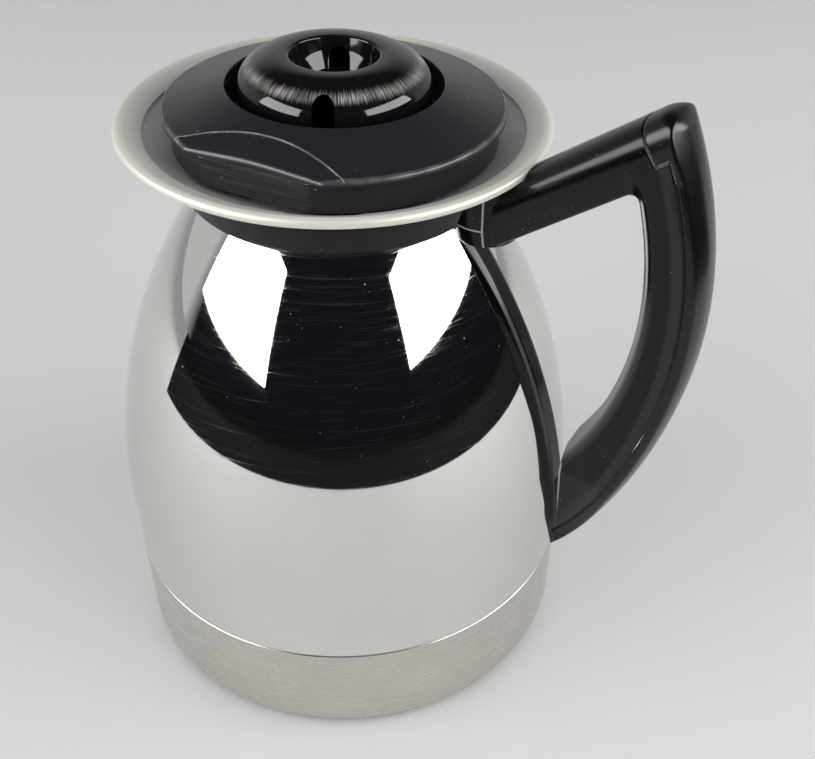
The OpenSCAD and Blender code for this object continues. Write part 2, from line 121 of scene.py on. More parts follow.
# ---------------------------------------------------------------- sizes of the stage, in metres
ROOM_X, ROOM_Y = 0.602, -0.799  # direction of the dark room's middle, at -53 degrees
TABLE_EDGE = 0.46
LIGHT_Z = 0.12
CARD_GLOW = 9.0


# ---------------------------------------------------------------- mesh tools
def finish_mesh(name, verts, faces, sharp=38.0):
    """A new object from points in mm. Edges sharper than an angle are marked sharp, the rest are smooth."""
    mesh = bpy.data.meshes.new(name)
    mesh.from_pydata((np.asarray(verts) * MM).tolist(), [], faces)
    bm = bmesh.new()
    bm.from_mesh(mesh)
    bmesh.ops.remove_doubles(bm, verts=bm.verts, dist=1e-7)
    bmesh.ops.recalc_face_normals(bm, faces=bm.faces)
    for face in bm.faces:
        face.smooth = True
    for edge in bm.edges:
        edge.smooth = edge.calc_face_angle(0.0) < math.radians(sharp)
    bm.to_mesh(mesh)
    bm.free()
    obj = bpy.data.objects.new(name, mesh)
    bpy.context.scene.collection.objects.link(obj)
    return obj


def arc(cx, cz, r, start, end, step=6.0):
    """Points on an arc, from a start to an end angle in degrees."""
    count = max(2, math.ceil(abs(end - start) / step))
    angles = np.radians(np.linspace(start, end, count + 1))
    return [(cx + r * math.cos(a), cz + r * math.sin(a)) for a in angles]


def rounded(corners, step=10.0):
    """Closed outline through corners (x, z, radius), with an arc of that radius at each."""
    out = []
    for i, (x, z, radius) in enumerate(corners):
        if not radius:
            out.append((x, z))
            continue
        p = Vector((x, z))
        a = Vector(corners[i - 1][:2]) - p
        b = Vector(corners[(i + 1) % len(corners)][:2]) - p
        half = a.angle(b) / 2
        reach = min(radius / math.tan(half), 0.48 * a.length, 0.48 * b.length)
        radius = reach * math.tan(half)
        a.normalize()
        b.normalize()
        c = p + (a + b).normalized() * (radius / math.sin(half))
        start = math.atan2(*(p + a * reach - c).yx)
        turn = math.remainder(math.atan2(*(p + b * reach - c).yx) - start, math.tau)
        out += arc(c.x, c.y, radius, math.degrees(start), math.degrees(start + turn), step)
    return out


def lathe(name, outline, segments=256, sharp=38.0):
    """Solid of revolution of a closed outline (r, z). The outline may be a function of the angle."""
    rows = []
    for i in range(segments):
        a = math.tau * i / segments
        points = outline(a) if callable(outline) else outline
        rows += [(r * math.cos(a), r * math.sin(a), z) for r, z in points]
    n = len(rows) // segments
    i, j = np.meshgrid(np.arange(segments), np.arange(n), indexing="ij")
    i2, j2 = (i + 1) % segments, (j + 1) % n
    quads = np.stack([i * n + j, i2 * n + j, i2 * n + j2, i * n + j2], -1).reshape(-1, 4)
    return finish_mesh(name, rows, quads.tolist(), sharp)


def smooth_max(a, b, k):
    """Larger of two fields, with the edge between them rounded."""
    h = np.clip(k - np.abs(a - b), 0, None)
    return np.maximum(a, b) + h * h / (4 * k)


def smooth_min(a, b, k):
    """Smaller of two fields, with the edge between them rounded."""
    return -smooth_max(-a, -b, k)


def net(name, field, lo, hi, step):
    """Quad mesh on the surface where field(x, y, z) is 0, with the field's own normals. All in mm."""
    axes = [np.arange(a - step, b + 2 * step, step) for a, b in zip(lo, hi)]
    grid = np.meshgrid(*axes, indexing="ij")
    f = field(*grid).astype(np.float32)
    del grid
    inside = f < 0
    cells = tuple(n - 1 for n in f.shape)
    total = np.zeros(cells + (3,), np.float32)
    count = np.zeros(cells, np.uint8)
    for axis in range(3):
        others = [a for a in range(3) if a != axis]
        for corner in range(4):
            start = [0, 0, 0]
            start[others[0]], start[others[1]] = corner & 1, corner >> 1
            end = list(start)
            end[axis] = 1
            near = tuple(slice(s, s + n) for s, n in zip(start, cells))
            away = tuple(slice(s, s + n) for s, n in zip(end, cells))
            cross = inside[near] != inside[away]
            a, b = f[near][cross], f[away][cross]
            point = np.zeros((len(a), 3), np.float32) + np.array(start, np.float32)
            point[:, axis] = a / (a - b)
            total[cross] += point
            count[cross] += 1
    used = count > 0
    index = np.full(cells, -1, np.int64)
    index[used] = np.arange(int(used.sum()))
    at = np.argwhere(used)
    p = (at + total[used] / count[used][:, None]) * step + np.array([a[0] for a in axes])
    p = p.astype(np.float64)

    def slope(q):
        """Gradient of the field at points."""
        e = 0.02
        g = [field(*(q + d).T) - field(*(q - d).T) for d in np.eye(3) * e]
        return np.stack(g, 1) / (2 * e)

    for _ in range(4):
        g = slope(p)
        move = field(*p.T) / np.maximum((g * g).sum(1), 1e-6)
        p -= g * np.clip(move, -0.3 * step, 0.3 * step)[:, None]
    quads = []
    for axis in range(3):
        u, v = (axis + 1) % 3, (axis + 2) % 3
        span = [slice(1, n) for n in cells]
        span[axis] = slice(0, cells[axis])
        ahead = list(span)
        ahead[axis] = slice(1, cells[axis] + 1)
        cross = np.argwhere(inside[tuple(span)] != inside[tuple(ahead)])
        cross += np.array([s.start for s in span])
        outward = inside[tuple(cross.T)]
        ring = []
        for du, dv in ((0, 0), (1, 0), (1, 1), (0, 1)):
            c = cross.copy()
            c[:, u] -= du
            c[:, v] -= dv
            ring.append(index[tuple(c.T)])
        ring = np.stack(ring, 1)
        ring[~outward] = ring[~outward][:, ::-1]
        quads.append(ring)
    quads = np.concatenate(quads)
    mesh = bpy.data.meshes.new(name)
    mesh.from_pydata((p * MM).tolist(), [], quads.tolist())
    g = slope(p)
    g /= np.maximum(np.linalg.norm(g, axis=1), 1e-9)[:, None]
    mesh.shade_smooth()
    mesh.normals_split_custom_set_from_vertices(g.tolist())
    obj = bpy.data.objects.new(name, mesh)
    bpy.context.scene.collection.objects.link(obj)
    return obj


def calculator(tree):
    """A function that adds a maths node to a tree and returns its output."""

    def calc(operation, a, b=0.0):
        node = tree.nodes.new("ShaderNodeMath")
        node.operation = operation
        for slot, value in ((0, a), (1, b)):
            if isinstance(value, bpy.types.NodeSocket):
                tree.links.new(value, node.inputs[slot])
            else:
                node.inputs[slot].default_value = value
        return node.outputs[0]

    return calc


def dress(obj, body, slot, material, *nodes):
    """Gives a piece its body and its material, and hides the CAD nodes that it stands for. The slot is not
    used.
    """
    obj.data.materials.clear()
    obj.data.materials.append(material)
    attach(obj, body)
    if nodes:
        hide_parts(*nodes)
    return obj


# ---------------------------------------------------------------- material tools
class Paint:
    """A node material on one Principled shader. Textures read the object's own coordinates, in mm."""

    def __init__(self, name, color, rough, metal=0.0, gloss=0.5):
        self.material = bpy.data.materials.new(name)
        self.material.use_nodes = True
        self.tree = self.material.node_tree
        self.shader = self.tree.nodes["Principled BSDF"]
        self.shader.inputs["Base Color"].default_value = (*color, 1)
        self.shader.inputs["Roughness"].default_value = rough
        self.shader.inputs["Metallic"].default_value = metal
        self.shader.inputs["Specular IOR Level"].default_value = gloss
        self.color = color
        self.bumps = None

    def add(self, kind, inputs=None, **props):
        """A new node. Each input is linked to a socket or set to a value."""
        node = self.tree.nodes.new(kind)
        for key, value in props.items():
            setattr(node, key, value)
        for key, value in (inputs or {}).items():
            if isinstance(value, bpy.types.NodeSocket):
                self.tree.links.new(value, node.inputs[key])
            else:
                node.inputs[key].default_value = value
        return node

    def where(self, scale=(1, 1, 1), turn=(0, 0, 0)):
        """The object's coordinates in mm, turned by degrees and then scaled."""
        source = self.add("ShaderNodeTexCoord").outputs["Object"]
        turned = self.add("ShaderNodeMapping", {"Vector": source})
        turned.inputs["Rotation"].default_value = [math.radians(t) for t in turn]
        sized = self.add("ShaderNodeMapping", {"Vector": turned.outputs[0]})
        sized.inputs["Scale"].default_value = [METRE * s for s in scale]
        return sized.outputs[0]

    def noise(self, vector, scale=1.0, detail=3.0, rough=0.5):
        """Noise between about 0 and 1."""
        made = self.add(
            "ShaderNodeTexNoise",
            {"Vector": vector, "Scale": scale, "Detail": detail, "Roughness": rough},
        )
        return made.outputs["Fac"]

    def ramp(self, value, start, end, low_value=0.0, high_value=1.0):
        """Maps a value from one range to another, without passing its ends."""
        made = self.add(
            "ShaderNodeMapRange",
            {
                "Value": value,
                "From Min": start,
                "From Max": end,
                "To Min": low_value,
                "To Max": high_value,
            },
        )
        return made.outputs[0]

    def math(self, operation, a, b=0.0):
        return self.add("ShaderNodeMath", {0: a, 1: b}, operation=operation).outputs[0]

    def split(self, vector):
        return self.add("ShaderNodeSeparateXYZ", {0: vector}).outputs

    def specks(self, size, share, scale, vector=None):
        """Small round spots, in a share of the cells of a grid."""
        cell = self.add(
            "ShaderNodeTexVoronoi",
            {"Vector": vector or self.where(), "Scale": scale},
            feature="F1",
        )
        spot = self.ramp(cell.outputs["Distance"], size, size * 0.5)
        kept = self.ramp(self.split(cell.outputs["Color"])[0], 1 - share, 1 - share + 0.02)
        return self.math("MULTIPLY", spot, kept)

    def strokes(self, width, length, spacing, share, turn):
        """Short straight scratches along one direction, in a share of the cells of a grid."""
        vector = self.where((1.0, width / length, 1.0), turn)
        cell = self.add("ShaderNodeTexVoronoi", {"Vector": vector, "Scale": 1 / spacing}, feature="F1")
        line = self.ramp(cell.outputs["Distance"], 0.5 * width / spacing, 0.2 * width / spacing)
        kept = self.ramp(self.split(cell.outputs["Color"])[0], 1 - share, 1 - share + 0.02)
        return self.math("MULTIPLY", line, kept)

    def scuffs(self, width, length, spacing, share, turns):
        """Strokes along several directions."""
        mask = 0.0
        for turn in turns:
            mask = self.math("MAXIMUM", mask, self.strokes(width, length, spacing, share, turn))
        return mask

    def circle(self, u, v, circle):
        """Distance outside a circle (centre u, centre v, radius) in the plane of two coordinates."""
        du, dv = self.math("SUBTRACT", u, circle[0]), self.math("SUBTRACT", v, circle[1])
        return self.math("SUBTRACT", self.length(du, dv), circle[2])

    def length(self, u, v):
        """Length of a vector (u, v)."""
        squares = self.math("ADD", self.math("MULTIPLY", u, u), self.math("MULTIPLY", v, v))
        return self.math("SQRT", squares)

    def near(self, value, target, reach):
        """1 where a value is close to a target, fading to 0 at the reach."""
        return self.ramp(self.math("ABSOLUTE", self.math("SUBTRACT", value, target)), reach, 0.4 * reach)

    def mix(self, mask, color):
        """Lays a colour over the base colour where the mask is 1."""
        socket = self.shader.inputs["Base Color"]
        under = socket.links[0].from_socket if socket.is_linked else (*self.color, 1)
        made = self.add("ShaderNodeMix", data_type="RGBA")
        for slot, value in ((0, mask), (6, under), (7, (*color, 1))):
            if isinstance(value, bpy.types.NodeSocket):
                self.tree.links.new(value, made.inputs[slot])
            else:
                made.inputs[slot].default_value = value
        self.tree.links.new(made.outputs[2], socket)

    def blend(self, name, mask, value):
        """Moves an input of the shader towards a value where the mask is 1."""
        socket = self.shader.inputs[name]
        under = socket.links[0].from_socket if socket.is_linked else socket.default_value
        made = self.add("ShaderNodeMix", {0: mask, 2: under, 3: value}, data_type="FLOAT")
        self.tree.links.new(made.outputs[0], socket)

    def rough(self, mask, value):
        self.blend("Roughness", mask, value)

    def metal(self, mask, value):
        self.blend("Metallic", mask, value)

    def bump(self, height, depth, strength=1.0):
        """Relief of a depth in mm."""
        made = self.add(
            "ShaderNodeBump",
            {"Height": height, "Distance": depth * MM, "Strength": strength},
        )
        if self.bumps:
            self.tree.links.new(self.bumps, made.inputs["Normal"])
        self.bumps = made.outputs[0]
        self.tree.links.new(self.bumps, self.shader.inputs["Normal"])


def polished_steel():
    """Mirror-polished sheet with hairlines round the axis, short scratches and specks."""
    p = Paint("polished_steel", (0.735, 0.725, 0.695), 0.03, metal=1.0)
    cloud = p.noise(p.where(), 0.05, 3)
    p.mix(p.ramp(cloud, 0.35, 0.7, 0, 0.5), (0.69, 0.675, 0.64))
    hair = p.ramp(p.noise(p.where((0.02, 0.02, 2.2), (2, 1, 0)), 1.0, 4, 0.7), 0.57, 0.75)
    hair2 = p.ramp(p.noise(p.where((0.03, 0.03, 3.0), (-4, 3, 0)), 1.0, 3, 0.7), 0.6, 0.76)
    worn = p.ramp(p.noise(p.where(), 0.03, 2), 0.35, 0.65, 0.3, 1.0)
    lines = p.math("MULTIPLY", p.math("MAXIMUM", hair, hair2), worn)
    p.rough(lines, 0.22)
    turns = [(0, 0, turn) for turn in (0, 45, 90, 135)]
    turns += [(75, 0, 20), (50, 0, 70), (30, 0, 110), (60, 0, 150)]
    cuts = p.scuffs(0.15, 13.0, 3.2, 0.30, turns)
    p.rough(cuts, 0.38)
    p.metal(p.math("MULTIPLY", cuts, 0.6), 0.0)
    p.metal(p.math("MULTIPLY", lines, 0.05), 0.0)
    dots = p.math("MAXIMUM", p.specks(0.09, 0.06, 0.42), p.specks(0.12, 0.05, 0.9))
    p.rough(dots, 0.6)
    p.bump(p.noise(p.where(), 0.035, 1), 0.05, 0.35)
    return p.material


def satin_steel(name, color, rough, grain):
    """Satin sheet, brushed round the axis."""
    p = Paint(name, color, rough, metal=1.0)
    brushed = p.noise(p.where((0.03, 0.03, grain)), 1.0, 4, 0.65)
    p.rough(p.ramp(brushed, 0.3, 0.7), rough + 0.14)
    p.mix(p.ramp(p.noise(p.where(), 0.06, 3), 0.3, 0.75, 0, 0.6), tuple(0.88 * c for c in color))
    p.bump(brushed, 0.012, 0.5)
    p.rough(p.specks(0.12, 0.05, 0.3), 0.6)
    return p.material


def blasted_steel():
    """Bead-blasted dish of the pouring rim, with a paler rolled lip."""
    p = Paint("rim_steel", (0.55, 0.54, 0.51), 0.46, metal=0.3)
    grain = p.noise(p.where(), 3.2, 2, 0.6)
    p.bump(grain, 0.03, 0.5)
    p.mix(p.ramp(p.noise(p.where(), 0.09, 4), 0.35, 0.7, 0, 0.6), (0.48, 0.47, 0.445))
    x, y, _ = p.split(p.where())
    radius = p.length(x, y)
    lip = p.ramp(radius, RIM_R - 3.4, RIM_R - 1.4)
    p.mix(lip, (0.70, 0.685, 0.61))
    p.rough(lip, 0.42)
    return p.material


def black_plastic(name, color, rough, dust=0.35, scuff=0.5, grain=0.0, gloss=0.2):
    """Moulded black plastic with fine scuffs, dust and a slight unevenness."""
    p = Paint(name, color, rough, gloss=gloss)
    p.rough(p.ramp(p.noise(p.where(), 0.12, 4), 0.35, 0.75, 0, 0.6), rough + 0.10)
    marks = p.scuffs(0.22, 5.0, 4.5, 0.16 * scuff, ((20, 0, 10), (0, 40, 70), (60, 10, 130)))
    p.mix(p.math("MULTIPLY", marks, 0.55), (0.20, 0.20, 0.21))
    spots = p.math("MAXIMUM", p.specks(0.11, 0.07 * dust, 0.5), p.specks(0.13, 0.06 * dust, 1.1))
    p.mix(p.math("MULTIPLY", spots, 0.8), (0.40, 0.40, 0.40))
    if grain:
        p.bump(p.noise(p.where(), 2.4, 2), grain, 0.6)
    p.bump(p.noise(p.where(), 0.05, 1), 0.06, 0.25)
    return p


def parting_line(p, x, z):
    """Paints the line between moulding and cover dull and darker; the darkening is painted shade in the gap.
    Returns the distance outside the grip's back.
    """
    lower = p.circle(x, z, BACK_LOW)
    upper = p.math("SUBTRACT", p.circle(x, z, BACK), lower)
    back = p.math("ADD", lower, p.math("MULTIPLY", upper, p.math("GREATER_THAN", z, BEND_Z)))
    line = p.math("MULTIPLY", p.near(back, -COVER_T, 0.55), p.ramp(z, COVER_END_Z - 0.4, COVER_END_Z))
    line = p.math("MULTIPLY", line, p.math("LESS_THAN", z, 184.0))
    # painted shade: the gap between moulding and cover is darkened in the base colour, and made dull
    p.mix(line, (0.001, 0.001, 0.001))
    p.rough(line, 0.9)
    return back


def collar_black():
    """The collar's dull black, with a grain."""
    black = (0.005, 0.0055, 0.006)
    return black_plastic("collar_plastic", black, 0.40, dust=0.3, scuff=0.3, grain=0.03).material


def cover_black():
    """The grip cover's black."""
    p = black_plastic("cover_plastic", (0.004, 0.004, 0.0045), 0.20, dust=0.8, scuff=0.9, gloss=0.35)
    x, _, z = p.split(p.where())
    parting_line(p, x, z)
    return p.material


def handle_black():
    """The handle's black, with painted light: a lit band beside the cover, a sheen on the nose, a highlight
    along the strip and light in the seam's gap. The pale lines at the arm's root are partly whitened edges
    and partly painted edge highlight.
    """
    p = black_plastic("handle_plastic", (0.0025, 0.0025, 0.003), 0.15, dust=1.0, scuff=0.6, gloss=0.25)
    x, y, z = p.split(p.where())
    back = parting_line(p, x, z)
    # painted light: the sloped band beside the cover is made lighter, as a lit face
    band = p.math("MULTIPLY", p.ramp(back, -7.8, -6.6), p.ramp(back, -4.2, -4.8))
    p.mix(p.math("MULTIPLY", band, p.ramp(z, 54.0, 64.0)), (0.016, 0.017, 0.018))
    # painted sheen: the rounded nose is made grey where it would reflect the pale table and body
    nose_sheen = p.ramp(p.circle(x, z, GRIP), 5.0, 0.6)
    nose_sheen = p.math("MULTIPLY", p.math("MULTIPLY", nose_sheen, nose_sheen), p.ramp(z, 84.0, 96.0))
    nose_sheen = p.math("MULTIPLY", nose_sheen, p.ramp(z, 158.0, 146.0))
    nose_sheen = p.math("MULTIPLY", nose_sheen, p.math("GREATER_THAN", x, 76.5))
    p.mix(nose_sheen, (0.20, 0.20, 0.20))
    p.rough(nose_sheen, 0.45)
    # painted highlight: a grey line along the strip's outer edges
    strip_highlight = p.math("MULTIPLY", p.near(p.math("ABSOLUTE", y), STRIP_HALF - 0.55, 0.75), p.ramp(z, 74.0, 92.0))
    strip_highlight = p.math("MULTIPLY", strip_highlight, p.math("LESS_THAN", z, 151.0))
    strip_highlight = p.math("MULTIPLY", strip_highlight, p.ramp(p.circle(x, z, STRIP), -0.9, -0.5))
    strip_highlight = p.math("MULTIPLY", strip_highlight, p.ramp(p.circle(x, z, STRIP), 1.6, 1.0))
    p.mix(p.math("MULTIPLY", strip_highlight, 0.8), (0.085, 0.085, 0.085))
    # pale lines at the arm's root: partly whitened edges, partly painted edge highlight
    inboard = p.ramp(x, 50.2, 49.2)
    ring = p.ramp(p.math("ABSOLUTE", p.math("SUBTRACT", z, 157.55)), 0.32, 0.14)
    crease = p.ramp(p.math("ABSOLUTE", p.math("SUBTRACT", x, 49.6)), 0.30, 0.12)
    crease = p.math("MULTIPLY", crease, p.math("GREATER_THAN", z, 152.0))
    edge = p.math("MAXIMUM", p.math("MULTIPLY", ring, inboard), crease)
    p.mix(p.math("MULTIPLY", edge, 0.85), (0.42, 0.41, 0.38))
    # painted light: a pale warm line where light shows through the seam's gap
    foot = p.math("ADD", p.math("MULTIPLY", z, FOOT_LEAN), FOOT_X - FOOT_LEAN * TIP_Z)
    seam_light = p.ramp(p.math("ABSOLUTE", p.math("SUBTRACT", p.math("SUBTRACT", x, 0.35), foot)), 0.45, 0.15)
    seam_light = p.math("MULTIPLY", seam_light, p.math("MULTIPLY", p.ramp(z, 68.0, 80.0), p.ramp(z, 91.5, 90.5)))
    seam_light = p.math("MULTIPLY", seam_light, p.math("GREATER_THAN", p.math("ABSOLUTE", y), 3.7))
    p.mix(p.math("MULTIPLY", seam_light, 0.8), (0.46, 0.44, 0.34))
    p.rough(p.math("MAXIMUM", edge, seam_light), 0.6)
    return p.material


def lid_black():
    """The lid's satin black, with a patchy painted highlight along the scoop's edge, a patchy painted
    highlight on the lip's rounded edge, and brush marks on the flat.
    """
    p = black_plastic("lid_plastic", (0.014, 0.015, 0.018), 0.30, dust=0.7, scuff=1.4, grain=0.012, gloss=0.5)
    turn = math.radians(NOTCH_TURN)
    x, y, z = p.split(p.where())
    ahead = p.math("ADD", p.math("MULTIPLY", x, math.cos(turn)), p.math("MULTIPLY", y, math.sin(turn)))
    aside = p.math("SUBTRACT", p.math("MULTIPLY", y, math.cos(turn)), p.math("MULTIPLY", x, math.sin(turn)))
    far = p.math("SUBTRACT", ahead, SCOOP_REACH + SCOOP_BOW)
    away = p.length(far, aside)
    # painted highlight: a patchy pale line along the scoop's edge
    line = p.ramp(p.math("ABSOLUTE", p.math("SUBTRACT", away, SCOOP_BOW)), 0.22, 0.10)
    line = p.math("MULTIPLY", line, p.ramp(z, LID_EDGE_Z - 0.6, LID_EDGE_Z - 0.4))
    patch = p.ramp(p.noise(p.where(), 0.25, 3), 0.35, 0.6, 0.35, 1.0)
    line = p.math("MULTIPLY", line, patch)
    p.mix(p.math("MULTIPLY", line, 0.6), (0.42, 0.42, 0.40))
    # painted highlight: a patchy grey line along the lip's rounded edge
    out = p.length(x, y)
    rim = p.ramp(out, LID_R - 1.1, LID_R - 0.6)
    rim = p.math("MULTIPLY", rim, p.ramp(z, LID_EDGE_Z - 1.2, LID_EDGE_Z - 0.6))
    p.mix(p.math("MULTIPLY", p.math("MULTIPLY", rim, patch), 0.35), (0.20, 0.20, 0.20))
    flat = p.math("MULTIPLY", p.ramp(ahead, NOTCH_FLAT - 0.5, NOTCH_FLAT - 0.2), p.ramp(z, 176.8, 176.2))
    brush = p.ramp(p.noise(p.where((0.06, 0.06, 2.4)), 1.0, 5, 0.7), 0.45, 0.7)
    p.mix(p.math("MULTIPLY", p.math("MULTIPLY", flat, brush), 0.35), (0.12, 0.12, 0.12))
    return p.material


def dome_gloss():
    """Glossy black dome, with a worn ring of short scratches round its crown."""
    p = Paint("dome_plastic", (0.005, 0.005, 0.0055), 0.07, gloss=0.42)
    x, y, z = p.split(p.where())
    flat = p.add("ShaderNodeCombineXYZ", {0: x, 1: y}).outputs[0]
    radius = p.length(x, y)
    ray = p.add("ShaderNodeVectorMath", {0: flat}, operation="NORMALIZE").outputs[0]
    spread = p.add("ShaderNodeVectorMath", {0: ray}, operation="SCALE")
    spread.inputs["Scale"].default_value = 95.0
    hair = p.noise(spread.outputs[0], 1.0, 6, 0.75)
    reach = p.math("MULTIPLY", p.math("SUBTRACT", p.noise(spread.outputs[0], 0.7, 5, 0.8), 0.5), 3.6)
    off = p.math("ABSOLUTE", p.math("SUBTRACT", p.math("ADD", z, reach), 187.7))
    band = p.math("MULTIPLY", p.ramp(off, 1.2, 0.2), p.ramp(radius, 17.0, 18.5))
    patch = p.ramp(p.noise(p.where(), 0.16, 3), 0.3, 0.6, 0.2, 1.0)
    worn = p.math("MULTIPLY", p.math("MULTIPLY", band, p.ramp(hair, 0.42, 0.6)), patch)
    p.mix(p.math("MULTIPLY", worn, 0.85), (0.55, 0.53, 0.48))
    p.rough(worn, 0.6)
    p.rough(p.ramp(p.noise(p.where(), 0.3, 4), 0.45, 0.8, 0, 0.3), 0.22)
    cuts = p.scuffs(0.14, 3.0, 3.0, 0.14, ((0, 0, 0), (0, 0, 60), (0, 0, 120)))
    p.mix(p.math("MULTIPLY", cuts, 0.5), (0.24, 0.235, 0.22))
    p.mix(p.specks(0.10, 0.05, 0.8), (0.35, 0.35, 0.33))
    p.bump(p.noise(p.where(), 0.08, 1), 0.04, 0.2)
    return p.material


def plain(name, color, rough, metal=0.0, grain=0.02):
    """Inner parts: a fine grain, with a little variation of colour and gloss."""
    p = Paint(name, color, rough, metal=metal)
    p.mix(p.ramp(p.noise(p.where(), 0.15, 4), 0.3, 0.7, 0, 0.7), tuple(0.8 * c for c in color))
    p.rough(p.ramp(p.noise(p.where(), 0.4, 3), 0.35, 0.7, 0, 0.6), min(1.0, rough + 0.15))
    p.bump(p.noise(p.where(), 1.6, 3), grain, 0.5)
    return p.material


# ---------------------------------------------------------------- steel body
def body_radius(z, inset=0.0):
    """Outer radius of the steel body at a height, less an inset."""
    if z < BELLY_Z:
        return FOOT_R + (BODY_R - FOOT_R) * z / BELLY_Z - inset
    return ARC_X + math.sqrt((SHOULDER_R - inset) ** 2 - (z - BELLY_Z) ** 2)


def shoulder(inset, top):
    """Points of the body's side from the belly up to a height."""
    end = math.degrees(math.asin((top - BELLY_Z) / (SHOULDER_R - inset)))
    return arc(ARC_X, BELLY_Z, SHOULDER_R - inset, 0, end, 0.45)


STEEL = polished_steel()
CUP_STEEL = satin_steel("cup_steel", (0.60, 0.585, 0.54), 0.20, 2.2)
INNER_STEEL = satin_steel("inner_steel", (0.62, 0.62, 0.61), 0.22, 1.2)
SCREW_STEEL = plain("screw_steel", (0.60, 0.60, 0.60), 0.3, metal=1.0)
RIM_STEEL = blasted_steel()
COLLAR = collar_black()
HANDLE = handle_black()
COVER = cover_black()
LID = lid_black()
DOME = dome_gloss()
PLUG = plain("plug_plastic", (0.020, 0.020, 0.022), 0.42)
FLOAT = plain("float_plastic", (0.60, 0.60, 0.58), 0.4)
SILICONE = plain("silicone", (0.42, 0.42, 0.41), 0.55)
MAT = plain("mat_rubber", (0.022, 0.022, 0.023), 0.7, grain=0.08)


def build_shell():
    """Sheet of the outer body, from the seam up to the neck's mouth."""
    edge = SEAM_Z + 0.32
    wall = [(body_radius(z), z) for z in np.linspace(edge + 0.4, BELLY_Z - 1, 14)]
    inner = [(body_radius(z, 0.8), z) for z in np.linspace(BELLY_Z - 1, edge + 0.4, 6)]
    outline = rounded([(body_radius(edge) - 0.8, edge, 0.1), (body_radius(edge), edge, 0.45), (*wall[0], 0)])
    outline = outline[:-1] + wall + shoulder(0, NECK_Z - 0.4)
    outline += [(NECK_R, NECK_Z), (NECK_R, MOUTH_Z), (NECK_R - 0.8, MOUTH_Z), (NECK_R - 0.8, NECK_Z - 0.6)]
    outline += shoulder(0.8, NECK_Z - 1.4)[::-1] + inner
    return lathe("body_shell", outline, 288)


def build_cup():
    """Base cup below the seam, with a groove for the mat."""
    r = body_radius(SEAM_Z)
    corners = [
        (0, 6.0, 0),
        (57.0, 6.0, 0.5),
        (57.0, 3.1, 0.3),
        (60.2, 3.1, 0.3),
        (60.2, EDGE_Z, 0.4),
        (body_radius(EDGE_Z) - 0.1, EDGE_Z, 6.0),
        (r, SEAM_Z, 0.4),
        (r - 0.8, SEAM_Z, 0.2),
        (body_radius(7) - 0.8, 6.8, 5.0),
        (0, 6.8, 0),
    ]
    return lathe("base_cup_skin", rounded(corners, 6.0), 288)


def build_rim():
    """Dish of the pouring rim, with a rolled lip and three tabs that reach in to hold the lid."""
    tab = 31.6
    inner = 33.8
    cx, cz = RIM_R - LIP_R, RIM_Z - LIP_R

    def outline(a):
        off = abs(math.remainder(math.degrees(a), 120.0))
        blend = min(max((50.6 - off) / 1.2, 0.0), 1.0)
        r = inner + (tab - inner) * blend * blend * (3 - 2 * blend)
        under = rounded(
            [
                (r, SEAT_Z + 0.9, 0.4),
                (r, SEAT_Z, 0.4),
                (NECK_R + 0.6, SEAT_Z, 3.0),
                (46.0, SEAT_Z + 2.9, 40.0),
                (cx + 0.3, cz - 1.0, 0),
            ],
            6.0,
        )
        over = rounded(
            [
                (cx - 0.5, cz + 1.0, 1.0),
                (46.0, SEAT_Z + 3.8, 40.0),
                (NECK_R, SEAT_Z + 0.9, 3.0),
                (r + 1, SEAT_Z + 0.9, 0),
            ],
            6.0,
        )
        return under + arc(cx, cz, LIP_R, -72, 112, 8.0) + over[1:]

    return lathe("pour_rim_dish", outline, 360, 50.0)


def build_collar():
    """Collar that flares from the neck up to the rim."""
    corners = [
        (37.3, 155.0, 0.1),
        (41.3, 155.0, 0.7),
        (42.2, 156.2, 0.7),
        (46.0, 165.2, 0.5),
        (40.8, 164.3, 0.2),
        (40.7, 157.5, 0.2),
        (37.3, 157.5, 0.1),
    ]
    return lathe("collar_skin", rounded(corners, 12.0), 256)


# ---------------------------------------------------------------- lid
def ease(x):
    """Smooth step from 0 to 1."""
    x = min(max(x, 0.0), 1.0)
    return x * x * (3 - 2 * x)


